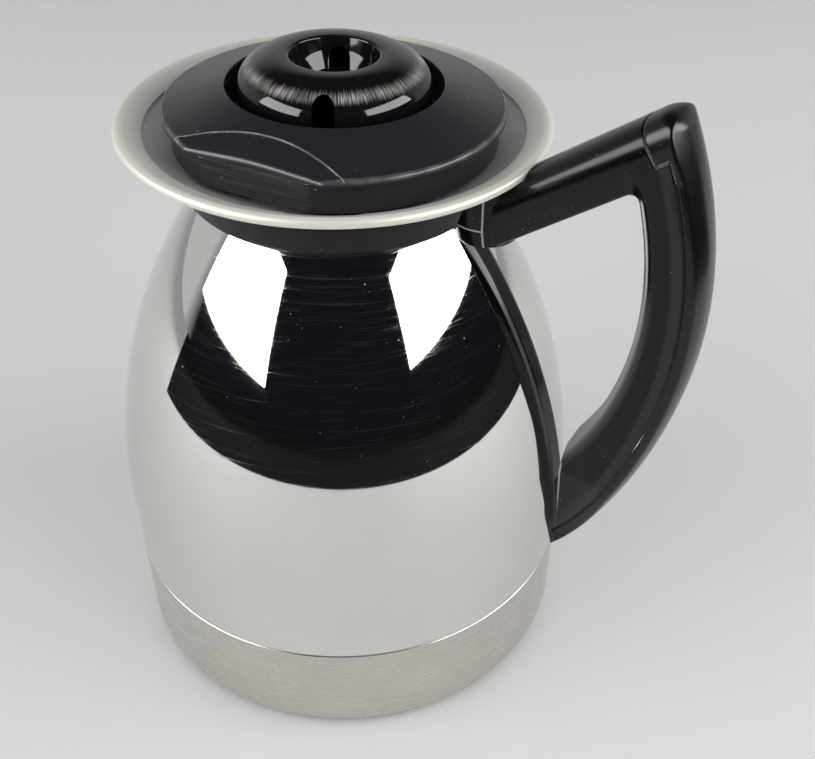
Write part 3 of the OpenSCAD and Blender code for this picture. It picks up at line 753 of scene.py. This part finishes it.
def build_lid():
    """Ring-shaped cover: a conical top with an overhanging edge, cut flat at the notch below a scoop."""
    turn = math.radians(NOTCH_TURN)
    tops = 1.0 - np.linspace(0, 1, 58) ** 1.15

    def cone(r):
        return LID_EDGE_Z + (LID_R - r) * CONE

    def outline(a):
        off = math.remainder(a - turn, math.tau)
        plane = NOTCH_FLAT / math.cos(off) if abs(off) < NOTCH_SECTOR else 999.0
        inner_plane = plane - 1.8 / max(math.cos(off), 0.3)
        wall = smooth_min(SKIRT_R, plane, 0.5)
        lip = smooth_min(LID_R, plane, 0.5)
        hollow = smooth_min(SKIRT_R - 1.8, inner_plane, 0.5)
        scooped = ease((33.0 - abs(math.degrees(off))) / 3.0)
        edge = 1.15 + 0.75 * scooped

        def top(r):
            ahead = r * math.cos(off) - SCOOP_REACH - SCOOP_BOW
            s = SCOOP_BOW - math.hypot(ahead, r * math.sin(off))
            drop = 0.32 * ease(s / 0.4) + 0.75 * ease(s / 5.5)
            if abs(off) > NOTCH_SECTOR:
                drop = 0.0
            return cone(r) - drop

        under = LID_EDGE_Z - 2.1
        points = [(hollow, SKIRT_Z + 0.2), (hollow + 0.2, SKIRT_Z)]
        points += [(wall - 0.4, SKIRT_Z), (wall, SKIRT_Z + 0.4)]
        points += [(wall, z) for z in (170.0, 172.5, 174.5)]
        points += [(wall, under), (wall + 0.5 * (lip - wall), under + 0.1), (lip - 0.2, under + 0.25)]
        shoulder_z = top(lip - edge) - edge * 0.94
        shoulder_z = max(shoulder_z, under + 0.7)
        rise = top(lip - edge) - shoulder_z
        points += [(lip, under + 0.6)]
        for k in range(8):
            b = math.radians(90 * k / 8)
            points.append((lip - edge * (1 - math.cos(b)), shoulder_z + rise * math.sin(b)))
        inner_r = CROWN_R + 0.7
        for t in tops:
            r = inner_r + (lip - edge - inner_r) * t
            points.append((r, top(r)))
        z = cone(CROWN_R)
        points += [(CROWN_R + 0.3, z - 0.05), (CROWN_R + 0.08, z - 0.3), (CROWN_R, z - 0.8)]
        points += [(CROWN_R, 176.0), (CROWN_R, 173.4), (CROWN_R + 0.2, 173.2)]
        points += [(30.0, 173.2), (30.2, 173.4), (30.2, cone(30.2) - 2.6)]
        points += [(hollow - 0.4, cone(hollow) - 2.4 - scooped * 0.5), (hollow, cone(hollow) - 3.2)]
        return points

    return lathe("lid_ring", outline, 720, 42.0)


def slot_cutter(name, direction, start, end, bottom, top):
    """Prism with a round top, along a direction, from one radius to another."""
    r = SLOT_W / 2
    side = [(-r, bottom), (r, bottom)] + arc(0, top - r, r, 0, 180, 9.0)
    c, s = math.cos(math.radians(direction)), math.sin(math.radians(direction))
    n = len(side)
    verts = [(d * c - t * s, d * s + t * c, z) for d in (start, end) for t, z in side]
    faces = [tuple(range(n)), tuple(range(2 * n - 1, n - 1, -1))]
    faces += [(i, (i + 1) % n, n + (i + 1) % n, n + i) for i in range(n)]
    return finish_mesh(name, verts, faces)


def cut(obj, cutter):
    """Takes a cutter out of an object, and drops the cutter."""
    mod = obj.modifiers.new("cut", "BOOLEAN")
    mod.operation = "DIFFERENCE"
    mod.solver = "EXACT"
    mod.object = cutter
    apply_modifiers(obj)
    bpy.data.objects.remove(cutter)


def apply_modifiers(obj):
    """Turns an object's modifiers into its mesh."""
    graph = bpy.context.evaluated_depsgraph_get()
    mesh = bpy.data.meshes.new_from_object(obj.evaluated_get(graph))
    obj.modifiers.clear()
    obj.data = mesh


def build_dome():
    """Dome with a well in its top, a slot in its front and a second slot inside the well."""
    base = DOME_Z - 8.1
    side = [(DOME_R - 0.15, DECK_Z + 0.3), (DOME_R, DECK_Z + 1)] + [(DOME_R, z) for z in (176.0, 179.0)]
    crown = [
        (14 + (DOME_R - 14) * math.cos(t), base + (DOME_Z - base) * math.sin(t))
        for t in np.radians(np.linspace(0, 90, 40))
    ]
    well = rounded(
        [
            (12.9, DOME_Z, 0),
            (11.8, DOME_Z - 0.05, 1.0),
            (10.9, DOME_Z - 4.0, 6.0),
            (8.4, 181.2, 3.0),
            (3.2, 180.6, 0.6),
            (3.2, 178.5, 0.3),
            (8.4, 179.0, 1.0),
            (11.6, 182.0, 1.0),
            (13.0, DOME_Z - 4.0, 3.0),
            (14.0, DOME_Z - 2.2, 0),
        ],
        8.0,
    )
    inner = [
        (14 + (DOME_R - 16.2) * math.cos(t), base + (DOME_Z - base - 2.2) * math.sin(t))
        for t in np.radians(np.linspace(85, 0, 14))
    ]
    obj = lathe("dome_skin", side + crown + well + inner + [(DOME_R - 2.2, DECK_Z + 0.3)], 256)
    cut(obj, slot_cutter("slot", SLOT_TURN, 15.2, DOME_R + 2, DECK_Z + 1.6, 188.5))
    cut(obj, slot_cutter("slot", SLOT_TURN + 180, 5.0, 14.5, 182.2, 187.8))
    bm = bmesh.new()
    bm.from_mesh(obj.data)
    edges = [e for e in bm.edges if len(e.link_faces) == 2 and e.calc_face_angle() > math.radians(50)]
    near = [e for e in edges if all(in_slot(v.co / MM) for v in e.verts)]
    bmesh.ops.bevel(
        bm, geom=near, offset=0.22 * MM, segments=2, profile=0.5, affect="EDGES", clamp_overlap=True
    )
    for face in bm.faces:
        face.smooth = True
    for edge in bm.edges:
        edge.smooth = edge.calc_face_angle(0.0) < math.radians(38)
    bm.to_mesh(obj.data)
    bm.free()
    return obj


def in_slot(p):
    """Whether a point of the dome lies on the edge of one of its two slots."""
    c, s = math.cos(math.radians(SLOT_TURN)), math.sin(math.radians(SLOT_TURN))
    return abs(-s * p.x + c * p.y) < SLOT_W / 2 + 0.05 and p.z > DECK_Z + 1.4


# ---------------------------------------------------------------- handle
def back_distance(x, z):
    """Distance outside the grip's back in the side view: two arcs that meet at the bend."""
    upper = np.hypot(x - BACK[0], z - BACK[1]) - BACK[2]
    lower = np.hypot(x - BACK_LOW[0], z - BACK_LOW[1]) - BACK_LOW[2]
    return np.where((z - BACK[1]) > -(x - BACK[0]) * math.tan(BEND), upper, lower)


def arm_section(x, y, z):
    """The arm's bar: rounded on top, widest at an edge line, and bevelled below it."""
    c, s = math.cos(ARM_RISE), math.sin(ARM_RISE)
    v = (z - ARM_BOTTOM) * c - (x - 70.0) * s
    wide = np.abs(y) / HALF_W
    crown = 8.4
    power = 2.4
    rise = np.clip(v - ARM_EDGE, 0, None) / crown
    upper = ((wide**power + rise**power + 1e-9) ** (1 / power) - 1) * crown
    lower = (np.abs(y) - HALF_W + (ARM_EDGE - v) * 0.36) * 0.94
    return smooth_max(smooth_max(upper, lower, 0.35), -v, 1.2), v


def grip_section(x, y, z):
    """The grip's bar: a rounded nose towards the jug, and sides that slope in near the cover."""
    inner = GRIP[2] - np.hypot(x - GRIP[0], z - GRIP[1])
    band = np.interp(z, [50, 75, 130, 170, 190], [0.0, 3.0, 3.7, 2.6, 2.2])
    slope = np.clip(back_distance(x, z) + COVER_T + band, 0, None)
    side = np.abs(y) - HALF_W + 0.24 * slope
    a, b = np.clip(side + NOSE_R, 0, None), np.clip(inner + NOSE_R, 0, None)
    return np.hypot(a, b) + np.minimum(np.maximum(side, inner) + NOSE_R, 0) - NOSE_R


def tip_taper(y, z):
    """Narrows the lower end to a point."""
    slope = (HALF_W - TIP_HALF) / (TAPER_Z - TIP_Z)
    return (np.abs(y) - HALF_W + np.clip(TAPER_Z - z, 0, None) * slope) * 0.98


def crowned(x, y, z):
    """Distance outside the back, which is crowned from side to side."""
    return back_distance(x, z) + 2.4 * (np.abs(y) / HALF_W) ** 2.2


def peak(x, z):
    """Rounds the peak where the arm's ridge meets the back."""
    fall = math.radians(15)
    return (z - 198.7) * math.cos(fall) + (x - 92.5) * math.sin(fall)


def cap_cut(x, z):
    """Distance beyond the cut square to the arm. The cover owns what is beyond it."""
    c, s = math.cos(ARM_RISE), math.sin(ARM_RISE)
    along = (x - CAP_X) * c + (z - CAP_Z) * s
    up = (z - CAP_Z) * c - (x - CAP_X) * s
    return np.minimum(along, up + 9.0)


def cover_share(x, z):
    """Positive in the part of the handle that belongs to the outer cover."""
    shell = smooth_max(back_distance(x, z) + COVER_T, cap_cut(x, z), 0.6)
    return smooth_min(shell, z - COVER_END_Z, 0.5)


def grip_foot(z):
    """Side-view distance from the axis at which the lower end of the grip begins."""
    return np.clip(FOOT_X + (z - TIP_Z) * FOOT_LEAN, 0, 77.5)


def handle_whole(x, y, z):
    """Arm and grip as one rounded solid."""
    arm, v = arm_section(x, y, z)
    grip = smooth_max(grip_section(x, y, z), grip_foot(z) - x, 0.3)
    grip = smooth_max(grip, v - ARM_EDGE, 0.6)
    both = smooth_max(smooth_min(arm, grip, 3.0), np.abs(y) - HALF_W, 0.2)
    both = smooth_max(both, tip_taper(y, z), 0.5)
    return smooth_max(smooth_max(both, crowned(x, y, z), 0.7), peak(x, z), 2.2)


def shell_distance(x, y, z):
    """Distance outside the steel body."""
    r = np.hypot(x, y)
    arc_part = np.hypot(r - ARC_X, z - BELLY_Z) - SHOULDER_R
    wall = r - FOOT_R - (BODY_R - FOOT_R) * z / BELLY_Z
    return np.where(z > BELLY_Z, arc_part, wall)


def strip_top(x, z):
    """Distance outside the strip's outer face in the side view."""
    return np.where(z > STRIP[1], np.hypot(x - STRIP[0], z - STRIP[1]), x - STRIP[0]) - STRIP[2]


def strip_part(x, y, z):
    """Strip along the body: a flat outer face, sides that flare towards the top, and a narrow foot."""
    off_wall = shell_distance(x, y, z)
    outer = strip_top(x, z)
    lift = np.interp(z, [50.8, 62.4, 77.5, 88.0, 100.0, 110.0], [4.3, 2.7, 2.0, 1.3, 0.9, 0.25])
    flare = 1.6 * np.clip((z - 96.0) / 44.0, 0, 1)
    share = np.clip(-outer / np.clip(off_wall - outer - lift, 0.6, None), 0, 1.1)
    flank = (np.abs(y) - STRIP_HALF - flare * share) * 0.85
    made = smooth_max(smooth_max(flank, outer, 1.5), lift - off_wall, 0.4)
    gap = np.interp(z, [62.0, 76.0], [2.7, 0.25])
    foot = np.maximum(np.maximum(np.abs(y) - 2.2, outer + 1.0), np.maximum(gap - off_wall, 62.0 - z))
    made = np.maximum(smooth_min(made, foot, 0.3), z - 154.0)
    made = smooth_max(made, tip_taper(y, z), 0.4)
    return smooth_max(made, crowned(x, y, z) + 0.2, 0.3)


def web_part(x, y, z):
    """Narrow web between the strip and the lower end of the grip."""
    made = smooth_max(np.abs(y) - 2.0, z - 78.0, 0.5)
    made = np.maximum(np.maximum(made, x - grip_foot(z) - 1.5), -strip_top(x, z) - 0.8)
    made = np.maximum(made, tip_taper(y, z))
    return np.maximum(np.maximum(made, crowned(x, y, z) + 0.4), 53.0 - z)


def root_part(x, y, z):
    """Disc at the arm's end, with a bevelled lower edge."""
    r = np.hypot(x - ROOT_X, y)
    bevel = (r - ROOT_R + (157.6 - z) * 0.22) * 0.98
    return smooth_max(smooth_max(r - ROOT_R, bevel, 0.15), ROOT_Z - z, 0.5)


def clearance(x, y, z):
    """Negative in the room that the collar, the shoulder and the pouring rim take up."""
    r = np.hypot(x, y)
    collar = r - np.interp(z, [154.9, 155.8, 165.2], [41.2, 42.3, 46.1])
    collar = np.where(z < 154.9, 9.0, collar)
    rim = r - (RIM_R + 0.55)
    slope = (RIM_Z - 2.9 - 165.9) / (RIM_R - 1.5 - 46.1)
    dish = (165.9 + (r - 46.1) * slope - z) * 0.95
    dish = np.minimum(dish, RIM_Z - 3.2 - z + 0 * r)
    above = np.maximum(rim, dish)
    return np.minimum(np.minimum(np.where(z < 166.2, collar, 9.0), above), shell_distance(x, y, z) - 0.25)


def frame_field(x, y, z):
    """Arm, inner half of the grip, disc, strip and web."""
    arm = smooth_max(handle_whole(x, y, z), 48.0 - x, 0.3)
    arm = np.maximum(arm, ROOT_Z - z - np.where(x > 70.0, 200.0, 0.0))
    whole = smooth_min(arm, root_part(x, y, z), 0.2)
    whole = smooth_max(whole, -clearance(x, y, z), 0.3)
    whole = smooth_max(whole, cover_share(x, z) + 0.2, 0.25)
    lower = smooth_min(strip_part(x, y, z), web_part(x, y, z), 0.3)
    return np.minimum(whole, lower)


def cover_field(x, y, z):
    """Outer cover of the grip, with its cap."""
    return smooth_max(handle_whole(x, y, z), 0.16 - cover_share(x, z), 0.3)


def build_handle():
    """Moulding and grip cover, each meshed in the box of its CAD node with a millimetre to spare."""
    step = 0.42
    spare = Vector((1, 1, 1))
    made = []
    for name, field, node in (
        ("handle_moulding", frame_field, "handle_frame"),
        ("grip_cover", cover_field, "handle_cover"),
    ):
        lo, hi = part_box(node)
        made.append(net(name, field, Vector(lo) / MM - spare, Vector(hi) / MM + spare, step))
    return made


dress(build_shell(), "flask", "polished_steel", STEEL, "outer_shell")
dress(build_cup(), "flask", "cup_steel", CUP_STEEL, "base_cup")
dress(build_rim(), "flask", "rim_steel", RIM_STEEL, "pour_rim")
dress(build_collar(), "flask", "collar_plastic", COLLAR, "neck_collar")
dress(build_lid(), "lid", "lid_plastic", LID, "lid_cover")
dress(build_dome(), "lid", "dome_plastic", DOME, "lid_dome")
moulding, cover = build_handle()
dress(moulding, "flask", "handle_plastic", HANDLE, "handle_frame")
dress(cover, "flask", "cover_plastic", COVER, "handle_cover")
for piece in (moulding, cover, frame["nodes"]["strip_stud"]):
    piece.visible_glossy = False

PAINT = {
    "inner_steel": INNER_STEEL,
    "cup_steel": CUP_STEEL,
    "screw_steel": SCREW_STEEL,
    "collar_plastic": COLLAR,
    "plug_plastic": PLUG,
    "float_plastic": FLOAT,
    "silicone": SILICONE,
    "mat_rubber": MAT,
}
for part in frame["record"]["subparts"]:
    obj = frame["nodes"][part["node"]]
    if part["material_slot"] in PAINT and not obj.hide_render:
        obj.data.materials.clear()
        obj.data.materials.append(PAINT[part["material_slot"]])


# ---------------------------------------------------------------- stage, light and camera
def build_floor():
    """Pale table top. Mirrors see it end a little way in front of the jug, as a real table does."""
    rings = [0.0, 0.1, 0.25, 0.45, 0.8, 1.6, 3.2, 6.0]
    n = 64
    verts, faces = [], []
    for r in rings:
        verts += [(r * math.cos(math.tau * i / n), r * math.sin(math.tau * i / n), 0) for i in range(n)]
    for k in range(len(rings) - 1):
        for i in range(n):
            j = (i + 1) % n
            faces.append((k * n + i, k * n + j, (k + 1) * n + j, (k + 1) * n + i))
    floor = finish_mesh("floor", np.array(verts) * METRE, faces)
    m = bpy.data.materials.new("table")
    m.use_nodes = True
    tree = m.node_tree
    pale = tree.nodes["Principled BSDF"]
    pale.inputs["Base Color"].default_value = (0.61, 0.612, 0.618, 1)
    pale.inputs["Roughness"].default_value = 0.8
    pale.inputs["Specular IOR Level"].default_value = 0.2
    dark = tree.nodes.new("ShaderNodeBsdfDiffuse")
    dark.inputs["Color"].default_value = (0.012, 0.012, 0.014, 1)
    coord = tree.nodes.new("ShaderNodeNewGeometry")
    parts = tree.nodes.new("ShaderNodeSeparateXYZ")
    tree.links.new(coord.outputs["Position"], parts.inputs[0])
    path = tree.nodes.new("ShaderNodeLightPath")
    calc = calculator(tree)
    x, y = parts.outputs[0], parts.outputs[1]
    out = calc("SQRT", calc("ADD", calc("MULTIPLY", x, x), calc("MULTIPLY", y, y)))
    front = calc("SUBTRACT", calc("MULTIPLY", x, ROOM_X), calc("MULTIPLY", y, -ROOM_Y))
    past_edge = calc("GREATER_THAN", out, TABLE_EDGE)
    in_room = calc("GREATER_THAN", calc("ADD", front, calc("MULTIPLY", out, 0.14)), 0.0)
    beyond = calc("MULTIPLY", past_edge, in_room)
    mask = calc("MULTIPLY", beyond, path.outputs["Is Glossy Ray"])
    mix = tree.nodes.new("ShaderNodeMixShader")
    tree.links.new(mask, mix.inputs[0])
    tree.links.new(pale.outputs[0], mix.inputs[1])
    tree.links.new(dark.outputs[0], mix.inputs[2])
    tree.links.new(mix.outputs[0], tree.nodes["Material Output"].inputs[0])
    floor.data.materials.append(m)


def soft_light(name, azimuth, elevation, distance, width, height, power, warm=1.0):
    """Rectangular soft box that faces the jug from a direction in degrees."""
    data = bpy.data.lights.new(name, "AREA")
    data.shape = "RECTANGLE"
    data.size, data.size_y = width, height
    data.energy = power
    data.color = (1.0, 0.985 * warm, 0.965 * warm)
    lamp = bpy.data.objects.new(name, data)
    a, e = math.radians(azimuth), math.radians(elevation)
    out = Vector((math.cos(a) * math.cos(e), math.sin(a) * math.cos(e), math.sin(e)))
    target = Vector((0, 0, LIGHT_Z))
    lamp.location = target + out * distance
    lamp.rotation_euler = out.to_track_quat("Z", "Y").to_euler()
    lamp.visible_glossy = False
    bpy.context.scene.collection.objects.link(lamp)


def soft_card(name, azimuth, half_angle, low_angle, high_angle, distance, glow):
    """Upright white panel that only mirrors see: the bright face of a soft box."""
    a = math.radians(azimuth)
    out, side = Vector((math.cos(a), math.sin(a), 0)), Vector((-math.sin(a), math.cos(a), 0))
    wide = distance * math.tan(math.radians(half_angle))
    verts = []
    for across, angle in ((-1, low_angle[0]), (1, low_angle[1]), (1, high_angle[1]), (-1, high_angle[0])):
        up = LIGHT_Z + distance * math.tan(math.radians(angle))
        verts.append(out * distance + side * wide * across + Vector((0, 0, up)))
    card = finish_mesh(name, np.array([list(v) for v in verts]) * METRE, [(0, 1, 2, 3)])
    m = bpy.data.materials.new(name)
    m.use_nodes = True
    tree = m.node_tree
    light = tree.nodes.new("ShaderNodeEmission")
    light.inputs["Color"].default_value = (1.0, 0.985, 0.965, 1)
    light.inputs["Strength"].default_value = glow
    tree.links.new(light.outputs[0], tree.nodes["Material Output"].inputs[0])
    card.data.materials.append(m)
    card.visible_camera = card.visible_diffuse = card.visible_shadow = False


def build_world():
    """Pale studio, which mirrors see as dark in front of the jug, between the soft boxes."""
    world = bpy.data.worlds.new("studio")
    bpy.context.scene.world = world
    world.use_nodes = True
    tree = world.node_tree
    coord = tree.nodes.new("ShaderNodeTexCoord")
    parts = tree.nodes.new("ShaderNodeSeparateXYZ")
    tree.links.new(coord.outputs["Generated"], parts.inputs[0])
    path = tree.nodes.new("ShaderNodeLightPath")
    calc = calculator(tree)

    def ramp(value, start, end):
        node = tree.nodes.new("ShaderNodeMapRange")
        tree.links.new(value, node.inputs["Value"])
        node.inputs["From Min"].default_value = start
        node.inputs["From Max"].default_value = end
        return node.outputs[0]

    x, y, z = parts.outputs
    level = calc("SQRT", calc("MAXIMUM", calc("SUBTRACT", 1.0, calc("MULTIPLY", z, z)), 0.0001))
    # cosine of the turn away from the middle of the dark room
    front = calc("SUBTRACT", calc("MULTIPLY", x, ROOM_X), calc("MULTIPLY", y, -ROOM_Y))
    facing = calc("DIVIDE", front, level)
    room = ramp(facing, -0.26, -0.08)
    dark = calc("MAXIMUM", room, ramp(z, 0.32, 0.62))
    dark = calc("MULTIPLY", dark, path.outputs["Is Glossy Ray"])
    mix = tree.nodes.new("ShaderNodeMix")
    mix.data_type = "RGBA"
    tree.links.new(dark, mix.inputs[0])
    mix.inputs[6].default_value = (0.66, 0.67, 0.68, 1)
    mix.inputs[7].default_value = (0.008, 0.009, 0.012, 1)
    tree.links.new(mix.outputs[2], tree.nodes["Background"].inputs["Color"])
    tree.nodes["Background"].inputs["Strength"].default_value = 0.9


def build_camera():
    """Camera in front of the jug and to its right, looking down on it."""
    data = bpy.data.cameras.new("camera")
    camera = bpy.data.objects.new("camera", data)
    bpy.context.scene.collection.objects.link(camera)
    pitch, yaw, roll = math.radians(-39.1), math.radians(-26.73), math.radians(2.821)
    forward = Vector((math.sin(yaw) * math.cos(pitch), math.cos(yaw) * math.cos(pitch), math.sin(pitch)))
    side = forward.cross(Vector((0, 0, 1))).normalized()
    up = side.cross(forward)
    right = side * math.cos(roll) + up * math.sin(roll)
    over = up * math.cos(roll) - side * math.sin(roll)
    turn = Matrix((right, over, -forward)).transposed().to_4x4()
    camera.matrix_world = Matrix.Translation(Vector((0.1653, -0.2379, 0.3062))) @ turn
    data.lens = 50.8
    data.sensor_width = 36.0
    data.shift_x = -0.0824
    data.shift_y = 0.0425
    data.clip_start, data.clip_end = 0.01, 50.0
    bpy.context.scene.camera = camera


build_floor()
soft_light("box_left", -124, 24, 1.1, 1.02, 0.74, 8.0)
soft_light("box_right", 10, 26, 1.1, 1.25, 0.64, 9.5)
soft_card("card_left", -124, 26, (9, 7), (36, 36), 1.1, CARD_GLOW)
soft_card("card_right", 9.5, 30.5, (13, 14), (37, 37), 1.1, CARD_GLOW)
build_world()
build_camera()
bpy.context.scene.view_settings.view_transform = "Standard"
